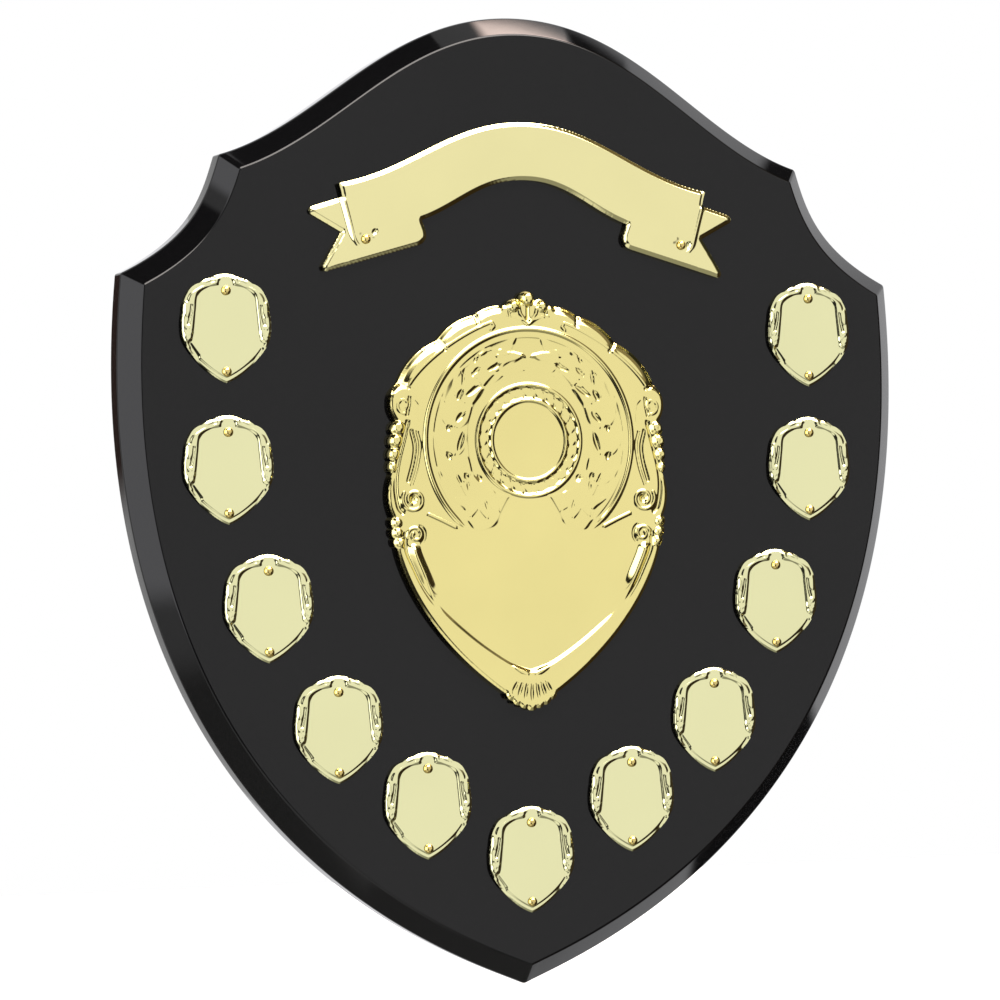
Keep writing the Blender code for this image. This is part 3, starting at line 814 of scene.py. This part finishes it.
class PLAQUE_OT_board(bpy.types.Operator):
    """Make the lacquered board, with its sloped front edge, pin holes and the hanging slot in its back"""

    bl_idname = "plaque.board"
    bl_label = "Board"

    def execute(self, context):
        settings = context.scene.plaque_board
        outline, face_edge = board_rings(settings.chamfer / MM)
        board = outline_slab("lacquered_board", outline, 0.0, BOARD_FRONT - settings.chamfer / MM)
        self.draw_chamfer(board, outline, face_edge)
        soften = board.modifiers.new("soften", "BEVEL")
        soften.width = settings.softness
        soften.segments = 3
        soften.limit_method = "ANGLE"
        soften.angle_limit = radians(28)
        soften.use_clamp_overlap = False
        apply_all(board)
        cut_with(board, [self.pin_holes()] + self.keyhole_cutters())
        finish_piece(board, lacquer_look(settings.colour, 0.05), ["board"], angle=30)
        even = board.modifiers.new("even_shading", "WEIGHTED_NORMAL")
        even.keep_sharp = True
        apply_all(board)
        return {"FINISHED"}

    def draw_chamfer(self, board, outline, face_edge):
        """Extrudes the front face, and draws its edge in from the outline, point for point."""
        outline = np.array(outline) * MM
        bpy.ops.object.mode_set(mode="EDIT")
        bpy.ops.mesh.select_mode(type="FACE")
        bpy.ops.mesh.select_all(action="DESELECT")
        bm = bmesh.from_edit_mesh(board.data)
        min(bm.faces, key=lambda face: face.calc_center_median().y).select_set(True)
        bpy.ops.mesh.extrude_region_move(TRANSFORM_OT_translate={"value": (0, -BOARD_FRONT * MM, 0)})
        bm = bmesh.from_edit_mesh(board.data)
        for vertex in next(face for face in bm.faces if face.select).verts:
            nearest = np.argmin(np.hypot(outline[:, 0] - vertex.co.x, outline[:, 1] - vertex.co.z))
            vertex.co = (face_edge[nearest][0] * MM, -BOARD_FRONT * MM, face_edge[nearest][1] * MM)
        bmesh.update_edit_mesh(board.data)
        bpy.ops.object.mode_set(mode="OBJECT")

    def pin_holes(self):
        """One cutter for all the pin holes."""
        deselect()
        made = []
        for name in nodes_with("_pin_"):
            low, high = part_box(name)
            middle = (Vector(low) + Vector(high)) / 2
            end = high[1] + PIN_HOLE_SPARE * MM
            depth = end + (BOARD_FRONT + 1.0) * MM
            bpy.ops.mesh.primitive_cylinder_add(
                vertices=24, radius=PIN_HOLE_RADIUS * MM, depth=depth, rotation=(pi / 2, 0, 0),
                location=(middle.x, end - depth / 2, middle.z),
            )
            made.append(bpy.context.object)
        deselect()
        for cutter in made:
            cutter.select_set(True)
        bpy.context.view_layer.objects.active = made[0]
        bpy.ops.object.join()
        return made[0]

    def keyhole_cutters(self):
        mouth = outline_slab("keyhole_mouth", keyhole(KEY_SLOT_RADIUS), -1.0, KEY_DEPTH)
        pocket = outline_slab("keyhole_pocket", keyhole(KEY_POCKET_RADIUS), KEY_LIP, KEY_DEPTH - 0.2)
        return [mouth, pocket]


class PLAQUE_OT_ribbon(bpy.types.Operator):
    """Press the ribbon: an arched band, folded ends, swallow tails and a dimple for each pin"""

    bl_idname = "plaque.ribbon"
    bl_label = "Ribbon"

    def execute(self, context):
        settings = context.scene.plaque_ribbon
        self.band = settings.rise / MM
        self.outline = ribbon_outline()
        rows = rows_between([(120.2, 70.6, RIBBON_SPACING)])
        plate = plate_grid("gold_ribbon", self.outline, RIBBON_SPACING, rows)
        press(plate, self.relief)
        set_out(plate)
        look = metal_look("ribbon_gold", settings.colour, 0.97, 0.09)
        finish_piece(plate, look, ["ribbon_scroll"])
        return {"FINISHED"}

    def relief(self, points, true):
        rise = np.full(len(points), self.band)
        fold = [(63.4, 101.2), (62.4, 97.6), (60.2, 90.0), (58.2, 82.6)] + run(
            (58.2, 82.6), (57.6, 80.4), (56.9, 79.6), (55.6, 79.3), 5
        )
        away, share, side = near_line(points, fold, 16.0)
        beyond = np.isfinite(away) & (side > 0) & (points[:, 1] > 71.0)
        rise[beyond] -= 0.8 * ramp(away[beyond] / 1.4) * smooth((1 - share[beyond]) / 0.3)
        ridge(points, rise, fold, 0.9, 0.4, taper=lambda s: 1 - 0.5 * s ** 3)
        ridge(points, rise, [(51.4, 83.0), (44.0, 85.6), (35.4, 88.2)], 1.6, 0.12)
        distance = np.hypot(points[:, 0] - RIBBON_PIN[0], points[:, 1] - RIBBON_PIN[1])
        rise -= 0.3 * smooth((3.6 - distance) / 2.2)
        pit(true, rise, (-52.0, 82.8), (-50.2, 85.0), 1.0, 0.6)
        pit(true, rise, (56.6, 83.1), (56.4, 80.4), 0.9, 0.5)
        slope_rim(points, rise, self.outline, 1.4, 0.8)
        return rise


class PLAQUE_OT_centre_shield(bpy.types.Operator):
    """Press the centre shield: medal place, rope, laurel wreath, scrolls, beads, finial and fan shell"""

    bl_idname = "plaque.centre_shield"
    bl_label = "Centre shield"

    def execute(self, context):
        settings = context.scene.plaque_centre
        self.sheet = settings.rise / MM
        self.turns = settings.rope_turns
        self.outline = centre_outline()
        plate = plate_grid("gold_centre_shield", self.outline, CENTRE_SPACING, rows_between(CENTRE_ROWS))
        press(plate, self.relief)
        set_out(plate)
        look = metal_look("centre_gold", settings.colour, 0.96, 0.09)
        finish_piece(plate, look, ["centre_shield"])
        return {"FINISHED"}

    def relief(self, points, true):
        rise = np.full(len(points), self.sheet)
        self.lower_field(points, rise)
        self.shoulder(points, rise)
        self.rings(points, rise)
        self.wreath(points, rise)
        self.rope(true, rise)
        self.side(points, rise)
        self.finial(points, rise)
        self.shell(points, rise)
        slope_rim(points, rise, self.outline, 1.0, 0.52)
        return rise

    def lower_field(self, points, rise):
        """The lower field, sunk inside its plain rim, with a broad bank on each side and a bar above it."""
        rim = flowing(RIM_LINE)
        away, _, _ = near_line(points, rim, 9.0)
        field = list(rim) + [(-3.0, -56.0), (-3.0, -8.0), (36.0, -8.0)]
        depth = np.where(inside(points, field), np.minimum(away, 9.0), 0.0)
        drop = 0.3 * smooth((-9.0 - points[:, 1]) / 9.0) + 0.55 * smooth((-28.0 - points[:, 1]) / 12.0)
        rise -= drop * ramp(depth / 1.6)
        upper_rim = [point for point in rim if point[1] > -37.0]
        ridge(points, rise, upper_rim, 1.0, -0.46, taper=lambda s: smooth((1 - s) / 0.3))
        rise -= 0.16 * smooth((depth - 1.5) / 5.0) * smooth((-12.0 - points[:, 1]) / 14.0)
        crest = flowing([(39.7, -12.6), (39.3, -16.0), (37.4, -20.6), (34.6, -26.4), (31.4, -31.0)])
        bank(points, rise, crest, 2.8, 1.9, 1.45, lambda s: smooth(s / 0.15) * smooth((1 - s) / 0.5))
        ridge(points, rise, [(34.4, -4.1), (30.0, -6.0), (25.4, -8.2)], 0.9, 0.38)

    def shoulder(self, points, rise):
        """Sloped facets on the shoulder's lobes, and the hooked line inside them."""
        away, _, _ = near_line(points, self.outline, 3.2)
        near = np.isfinite(away) & (points[:, 1] > 33.0) & (points[:, 0] > 7.8)
        ends = smooth((points[near, 1] - 33.0) / 3.5) * smooth((points[near, 0] - 7.8) / 2.0)
        rise[near] -= 1.15 * ramp(1 - away[near] / 3.0) * ends
        insets = ((16.8, 55.4), (28.2, 47.4), (40.6, 35.4))
        for cusp, inset in zip(SHOULDER_CUSPS[1:4], insets):
            ridge(points, rise, [cusp, inset], 0.9, -0.5)
        hook = [(12.6, 53.9), (11.6, 55.0), (12.4, 56.2)]
        hook += run(hook[-1], (22.0, 53.0), (36.0, 44.0), (41.0, 35.6), 20)
        ridge(points, rise, hook, 0.75, 0.34)

    def rings(self, points, rise):
        """The medal place, the ring round the rope, and the big open ring outside the wreath."""
        radius = np.hypot(points[:, 0], points[:, 1] - MEDAL_Z)
        within = smooth((points[:, 1] + 8.0) / 14.0)
        rise -= 0.42 * ramp((INNER_LINE - radius) / 2.4) * within
        for ring_radius in (MEDAL_RING, ROPE_RING):
            rise += 0.46 * roof((radius - ring_radius) / 1.0)
        opening = -pi / 2 + RING_OPENING
        for ring_radius, half_width, height in ((BIG_RING, 1.1, 0.54), (INNER_LINE, 0.9, 0.16)):
            ring = arc((0, MEDAL_Z), ring_radius, opening, pi / 2, 80)
            ridge(points, rise, ring, half_width, height, taper=lambda s: 0.2 + 0.8 * smooth(s / 0.08))

    def rope(self, points, rise):
        """The rope round the medal place: strands that slant across a sunk channel."""
        offset = points - [0.0, MEDAL_Z]
        across = (np.hypot(*offset.T) - (MEDAL_RING + ROPE_RING) / 2) / ROPE_HALF_WIDTH
        turn = self.turns * np.arctan2(offset[:, 1], offset[:, 0]) / (2 * pi) - 0.3 * across
        along = 2 * (turn - np.rint(turn))
        on_rope = np.abs(across) < 1
        strands = np.sqrt(np.clip(1 - across ** 2 - (0.9 * along) ** 2, 0, 1))
        channel = ramp((1 - np.abs(across)) / 0.45)
        rise[on_rope] += (0.44 * strands - 0.42 * channel)[on_rope]

    def wreath(self, points, rise):
        """Laurel leaves in low relief, with the deep places between them."""
        edge = flowing(WREATH_EDGE + WREATH_EDGE[:1])
        away, _, _ = near_line(points, edge, 0.5)
        lift = np.where(inside(points, edge), 0.5, -0.5) * np.minimum(away, 0.5) / 0.5 + 0.5
        rise += 0.25 * ramp(lift)
        ground = rise.copy()
        for row in range(7):
            turn = radians(-50 + 19.5 * row)
            for shift, lean, length in ((3.4, -24, 9.6), (-3.2, 26, 8.8), (0.2, 3, 9.4)):
                foot = np.array([0.0, MEDAL_Z]) + (WREATH_RADIUS + shift * 0.4) * heading(turn)
                tip = foot + length * heading(turn + radians(90 + lean))
                leaf(points, rise, ground, foot, tip, 1.9, 0.18)
        for tip, width in (((10.6, -3.4), 2.6), ((14.6, -6.0), 3.0), ((20.4, -5.4), 2.6)):
            leaf(points, rise, ground, (17.0, 6.0), tip, width, 0.2)
        for start, end, half_width in WREATH_PITS:
            pit(points, rise, start, end, 1.3 * half_width, 0.6 * half_width)
        for line in (((11.0, 45.6), (4.8, 46.7), (1.1, 45.4)), ((16.6, 45.8), (14.8, 47.0), (12.7, 47.7))):
            ridge(points, rise, line, 0.6, 0.22)

    def side(self, points, rise):
        """Curl, beads, the S scroll with a leaf in it, both volutes and the small beads."""
        ridge(points, rise, spiral((42.2, 30.0), 2.7, 1.0, radians(-100), 0.9, 1, 24), 0.7, 0.3)
        ridge(points, rise, [(40.3, 32.4), (40.5, 30.0), (41.2, 26.8)], 0.7, -0.4)
        ridge(points, rise, flowing([(39.0, 31.6), (37.6, 29.6), (37.2, 24.8)]), 0.5, -0.22)
        for x, z, radius in ((44.2, 23.0, 2.0), (44.9, 18.9, 1.9), (45.6, 14.7, 1.6), (46.1, 10.6, 1.2)):
            bead(points, rise, (x, z), radius, 0.5 * radius)
            pit(points, rise, (x + radius * 0.2, z + 0.9), (x + radius * 0.2, z - 0.9), 0.5, 0.3)
        outer = flowing([(41.0, 24.7), (42.8, 18.1), (44.7, 10.7), (45.3, 4.5), (44.4, -1.6), (43.0, -3.6)])
        ridge(points, rise, outer, 1.1, -0.5)
        ridge(points, rise, flowing([(39.9, 22.0), (38.8, 17.2), (39.3, 12.4), (41.0, 6.3)]), 0.9, -0.44)
        ridge(points, rise, flowing([(37.9, 21.6), (37.0, 17.2), (38.0, 10.7), (40.0, 4.8)]), 0.7, -0.32)
        ridge(points, rise, spiral(VOLUTE, 3.9, 1.7, 0.6, 1.25, -1, 50), 0.8, 0.4)
        bead(points, rise, VOLUTE, 1.2, -0.7)
        for x, z in ((44.8, -6.7), (44.6, -9.9), (43.9, -13.0)):
            bead(points, rise, (x, z), 1.4, 0.8)
        ridge(points, rise, spiral(SMALL_VOLUTE, 2.7, 0.9, radians(-10), 1.15, 1, 30), 0.75, 0.42)
        ridge(points, rise, arc(SMALL_VOLUTE, 3.3, radians(120), radians(230), 12), 0.6, -0.36)

    def finial(self, points, rise):
        """The three balls on top, and the leaves under them."""
        bead(points, rise, (0.0, 63.7), 2.3, 1.5)
        bead(points, rise, (4.9, 61.3), 1.8, 1.1)
        ridge(points, rise, [(3.1, 61.0), (2.7, 59.0), (0.3, 55.8)], 0.8, 0.4)
        ridge(points, rise, [(0.0, 61.4), (0.0, 57.0)], 0.75, -0.5)
        ridge(points, rise, [(6.4, 60.2), (6.2, 58.2)], 0.6, -0.35)
        ridge(points, rise, flowing([(0.0, 55.6), (3.4, 57.6), (7.0, 58.4)]), 0.7, 0.25)

    def shell(self, points, rise):
        """The fan shell: a raised fan, slits between its ribs, and a small leaf on each side of its foot."""
        fan = [(-1.0, -55.4), (0.0, -55.4), (3.0, -55.2), (5.4, -56.0), (7.2, -57.6), (9.4, -61.0)]
        rise[inside(points, fan + [(9.0, -68.0), (-1.0, -68.0)])] = self.sheet + 0.12
        for start, end in zip(FLUTE_STARTS, FLUTE_ENDS):
            pit(points, rise, start, end, 0.7, 0.38)
        cusps = SHELL_CUSPS + ((-1.5, -65.3),)
        for (ax, az), (bx, bz) in zip(cusps[:-1], cusps[1:]):
            bead(points, rise, ((ax + bx) / 2, (az + bz) / 2 + 0.5), 1.25, 0.2)
        ground = rise.copy()
        leaf(points, rise, ground, (0.8, -55.0), (6.6, -51.9), 1.0, 0.3)


class PLAQUE_OT_small_shields(bpy.types.Operator):
    """Press one small shield with its scrolled border, and set a copy on each of its places"""

    bl_idname = "plaque.small_shields"
    bl_label = "Small shields"

    def execute(self, context):
        settings = context.scene.plaque_small
        self.field = settings.rise / MM
        self.outline = small_outline()
        rows = rows_between([(0.4, -33.9, SMALL_SPACING)])
        plate = plate_grid("small_shield", self.outline, SMALL_SPACING, rows)
        press(plate, self.relief)
        look = metal_look("small_gold", settings.colour, 0.98, 0.08)
        for node_name in nodes_with("side_shield_"):
            low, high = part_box(node_name)
            copy = bpy.data.objects.new(f"gold_{node_name}", plate.data.copy())
            context.scene.collection.objects.link(copy)
            set_out(copy, ((low[0] + high[0]) / 2 / MM, high[2] / MM), f"gold_{node_name}")
            finish_piece(copy, look, [node_name])
        bpy.data.objects.remove(plate)
        return {"FINISHED"}

    def relief(self, points, true):
        rise = np.full(len(points), self.field)
        inner = [(-1.0, -2.2), *flowing([(1.9, -2.2), (2.5, -3.7), (5.9, -4.5), (8.9, -6.7), (9.6, -11.2)])]
        inner += [*flowing([(9.7, -12.0), (10.2, -16.8), (10.8, -20.1), (12.0, -21.2)])]
        inner += run(inner[-1], (10.6, -25.4), (5.0, -30.4), (-1.0, -32.2), 20)
        away, _, _ = near_line(points, inner, 2.0)
        border = ~inside(points, inner)
        reach = smooth((points[border, 0] - 1.0) / 1.6) * smooth((points[border, 1] + 26.5) / 2.0)
        reach *= smooth((-0.5 - points[border, 1]) / 1.4)
        rise[border] += 0.5 * ramp(np.minimum(away[border], 2.0) / 1.18) * reach
        groove = flowing([(3.0, -1.4), (5.4, -2.7), (8.6, -3.9), (11.3, -5.7), (12.6, -8.0), (12.1, -9.4)])
        bank(points, rise, groove, 0.9, 0.7, -0.34, lambda s: smooth(s / 0.1) * smooth((1 - s) / 0.1))
        low_rim = run((11.9, -22.6), (9.9, -26.0), (4.8, -30.2), (0.0, -32.2), 20)
        ridge(points, rise, low_rim, 0.7, -0.3)
        ridge(true, rise, [(-11.9, -21.6), (-9.0, -25.4)], 0.8, -0.3)
        ridge(points, rise, [(11.2, -9.8), (11.5, -12.6), (12.3, -15.4)], 0.6, -0.34)
        ridge(points, rise, [(12.9, -10.0), (12.8, -13.0)], 0.7, 0.2)
        for x, z, radius in ((12.6, -16.6, 0.9), (11.6, -18.0, 0.8), (12.9, -18.8, 0.8), (12.1, -20.2, 0.9)):
            bead(points, rise, (x, z), radius, 0.2)
        slope_rim(points, rise, self.outline, 0.9, 0.46)
        return rise


class PLAQUE_OT_pins(bpy.types.Operator):
    """Turn one domed pin and set a copy on each of its places"""

    bl_idname = "plaque.pins"
    bl_label = "Pins"

    def execute(self, context):
        settings = context.scene.plaque_pins
        look = metal_look("pin_brass", settings.colour, 0.8, 0.14)
        for name in nodes_with("_pin_"):
            low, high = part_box(name)
            pin = self.turned(f"brass_{name}", low, high, settings.sides)
            finish_piece(pin, look, [name], angle=40)
        return {"FINISHED"}

    def turned(self, name, low, high, sides):
        """A domed head and its shank: half a ball, pressed flatter, with the shank drawn from its back."""
        radius = (high[0] - low[0]) / 2
        middle = Vector(((low[0] + high[0]) / 2, low[1] + radius * 2 / 3, (low[2] + high[2]) / 2))
        deselect()
        bpy.ops.mesh.primitive_uv_sphere_add(
            segments=sides, ring_count=sides // 2, radius=radius, rotation=(pi / 2, 0, 0), location=middle
        )
        pin = bpy.context.object
        pin.name = pin.data.name = name
        bpy.ops.object.transform_apply(location=True, rotation=True, scale=True)
        bpy.ops.object.mode_set(mode="EDIT")
        bpy.ops.mesh.select_all(action="SELECT")
        bpy.ops.mesh.bisect(plane_co=middle, plane_no=(0, 1, 0), clear_outer=True, use_fill=True)
        bpy.ops.mesh.select_mode(type="FACE")
        bm = bmesh.from_edit_mesh(pin.data)
        for vertex in bm.verts:
            vertex.co.y = middle.y + (vertex.co.y - middle.y) * 2 / 3
        bpy.ops.mesh.select_all(action="DESELECT")
        for face in bm.faces:
            face.select_set(len(face.verts) > 4)
        bmesh.update_edit_mesh(pin.data)
        bpy.ops.mesh.inset(thickness=radius * 0.6)
        bpy.ops.mesh.extrude_region_move(TRANSFORM_OT_translate={"value": (0, high[1] - middle.y, 0)})
        bpy.ops.object.mode_set(mode="OBJECT")
        return pin


# The studio: floor, soft light and camera


class PLAQUE_OT_studio(bpy.types.Operator):
    """Set the plain floor, the soft light round the plaque and the camera"""

    bl_idname = "plaque.studio"
    bl_label = "Studio"

    def execute(self, context):
        settings = context.scene.plaque_studio
        context.scene.view_settings.view_transform = "Standard"
        self.floor(settings.floor_drop)
        self.surroundings(context.scene, settings.softbox)
        self.camera(context.scene)
        return {"FINISHED"}

    def floor(self, drop):
        deselect()
        bpy.ops.mesh.primitive_plane_add(size=12.0, location=(0, 0, CAD_BOX[0][2] - drop))
        floor = bpy.context.object
        floor.name = floor.data.name = "studio_floor"
        look = bpy.data.materials.new("studio_paper")
        look.use_nodes = True
        shader = look.node_tree.nodes["Principled BSDF"]
        shader.inputs["Base Color"].default_value = (0.9, 0.9, 0.9, 1.0)
        shader.inputs["Roughness"].default_value = 0.9
        floor.data.materials.append(look)
        floor.visible_glossy = False

    def surroundings(self, scene, softbox):
        """White paper all round, with softboxes and dark flags placed by their direction from the plaque."""
        world = bpy.data.worlds.new("studio")
        scene.world = world
        world.use_nodes = True
        tree = world.node_tree
        links = tree.links
        background = tree.nodes["Background"]
        way = node(tree, "ShaderNodeTexCoord")
        parts = node(tree, "ShaderNodeSeparateXYZ")
        links.new(way.outputs["Generated"], parts.inputs["Vector"])
        front = maths(tree, "MULTIPLY", parts.outputs["Y"], -1.0)
        azimuth = maths(tree, "ARCTAN2", parts.outputs["X"], front)
        elevation = maths(tree, "ARCSINE", parts.outputs["Z"])
        cards = (
            # middle and half size in degrees (azimuth, elevation), softness, brightness
            ((0, -62), (360, 30), 0.12, (0.30, 0.30, 0.28)),
            ((140, 10), (48, 60), 0.10, (1.35, 1.35, 1.38)),
            ((-22, 6), (7, 26), 0.25, (0.01, 0.01, 0.01)),
            ((-14, -20), (16, 12), 0.2, (0.02, 0.02, 0.02)),
            ((78, -15), (24, 38), 0.2, (0.04, 0.03, 0.02)),
            ((52, -24), (16, 17), 0.2, (0.03, 0.02, 0.01)),
            ((-32, -50), (30, 20), 0.15, (0.95, 0.95, 0.93)),
            ((64, 27), (7, 14), 0.2, (0.26, 0.22, 0.16)),
            ((86, 27), (15, 12), 0.2, (0.03, 0.03, 0.02)),
            ((-68, 6), (34, 28), 0.08, (2.8, 2.8, 2.9)),
            ((74, 52), (26, 13), 0.15, (0.16, 0.12, 0.06)),
            ((-40, 77), (60, 14), 0.10, (0.03, 0.03, 0.03)),
            ((-70, 60), (28, 18), 0.10, (0.04, 0.04, 0.04)),
            ((13, 54), (38, 16), 0.12, (softbox, softbox * 0.93, softbox * 0.88)),
            ((88, 66), (20, 11), 0.2, (softbox * 1.4, softbox * 1.12, softbox)),
            ((103, 47), (10, 6), 0.2, (0.02, 0.02, 0.02)),
            ((108, -25), (9, 8), 0.10, (0.02, 0.02, 0.02)),
            ((-157, 3), (14, 7), 0.30, (0.10, 0.06, 0.05)),
        )
        last = None
        for middle, half_size, softness, brightness in cards:
            mask = self.card(tree, (azimuth, elevation), middle, half_size, softness)
            last = self.mixed(tree, mask, last, brightness)
        seen = node(tree, "ShaderNodeLightPath")
        paper = self.mixed(tree, seen.outputs["Is Camera Ray"], last, (1.0, 1.0, 1.0))
        links.new(paper, background.inputs["Color"])

    def mixed(self, tree, mask, below, colour):
        """A colour laid over what is below it, which is pale paper to begin with, as far as the mask says."""
        mix = node(tree, "ShaderNodeMix", data_type="RGBA")
        tree.links.new(mask, mix.inputs[0])
        mix.inputs[6].default_value = (0.93, 0.93, 0.93, 1.0)
        mix.inputs[7].default_value = (*colour, 1.0)
        if below is not None:
            tree.links.new(below, mix.inputs[6])
        return mix.outputs[2]

    def card(self, tree, ways, middle, half_size, softness):
        """How much of a soft-edged card a direction sees, from 0 to 1."""
        spans = []
        for way, centre, half in zip(ways, middle, half_size):
            shift = maths(tree, "ABSOLUTE", maths(tree, "SUBTRACT", way, radians(centre)))
            spans.append(maths(tree, "DIVIDE", shift, radians(half)))
        mask = node(tree, "ShaderNodeMapRange", interpolation_type="SMOOTHSTEP")
        mask.inputs["From Min"].default_value = 1 + softness
        mask.inputs["From Max"].default_value = 1 - softness
        tree.links.new(maths(tree, "MAXIMUM", *spans), mask.inputs["Value"])
        return mask.outputs[0]

    def camera(self, scene):
        data = bpy.data.cameras.new("camera")
        camera = bpy.data.objects.new("camera", data)
        scene.collection.objects.link(camera)
        camera.location = (-0.5161, -1.2392, -0.0192)
        camera.rotation_euler = (radians(90.840), radians(0.670), radians(-22.450))
        data.lens = 151.6
        data.sensor_width = 36.0
        data.clip_end = 30.0
        scene.camera = camera


class PLAQUE_PT_panel(bpy.types.Panel):
    """Lists the plaque's pieces and their settings"""

    bl_idname = "PLAQUE_PT_panel"
    bl_label = "Award Shield Plaque"
    bl_space_type = "VIEW_3D"
    bl_region_type = "UI"
    bl_category = "Plaque"

    def draw(self, context):
        for name, operator in STEPS:
            box = self.layout.box()
            settings = getattr(context.scene, name)
            for key in settings.__annotations__:
                box.prop(settings, key)
            box.operator(operator.bl_idname)


SETTINGS = {
    "plaque_board": BoardSettings,
    "plaque_ribbon": RibbonSettings,
    "plaque_centre": CentreSettings,
    "plaque_small": SmallSettings,
    "plaque_pins": PinSettings,
    "plaque_studio": StudioSettings,
}
STEPS = (
    ("plaque_studio", PLAQUE_OT_studio),
    ("plaque_board", PLAQUE_OT_board),
    ("plaque_ribbon", PLAQUE_OT_ribbon),
    ("plaque_centre", PLAQUE_OT_centre_shield),
    ("plaque_small", PLAQUE_OT_small_shields),
    ("plaque_pins", PLAQUE_OT_pins),
)
CLASSES = tuple(SETTINGS.values()) + tuple(operator for _, operator in STEPS) + (PLAQUE_PT_panel,)


def register():
    for made in CLASSES:
        bpy.utils.register_class(made)
    for name, group in SETTINGS.items():
        setattr(bpy.types.Scene, name, PointerProperty(type=group))


def unregister():
    for name in SETTINGS:
        delattr(bpy.types.Scene, name)
    for made in reversed(CLASSES):
        bpy.utils.unregister_class(made)


def main():
    register()
    for _, operator in STEPS:
        group, name = operator.bl_idname.split(".")
        getattr(getattr(bpy.ops, group), name)()


if __name__ == "__main__":
    main()
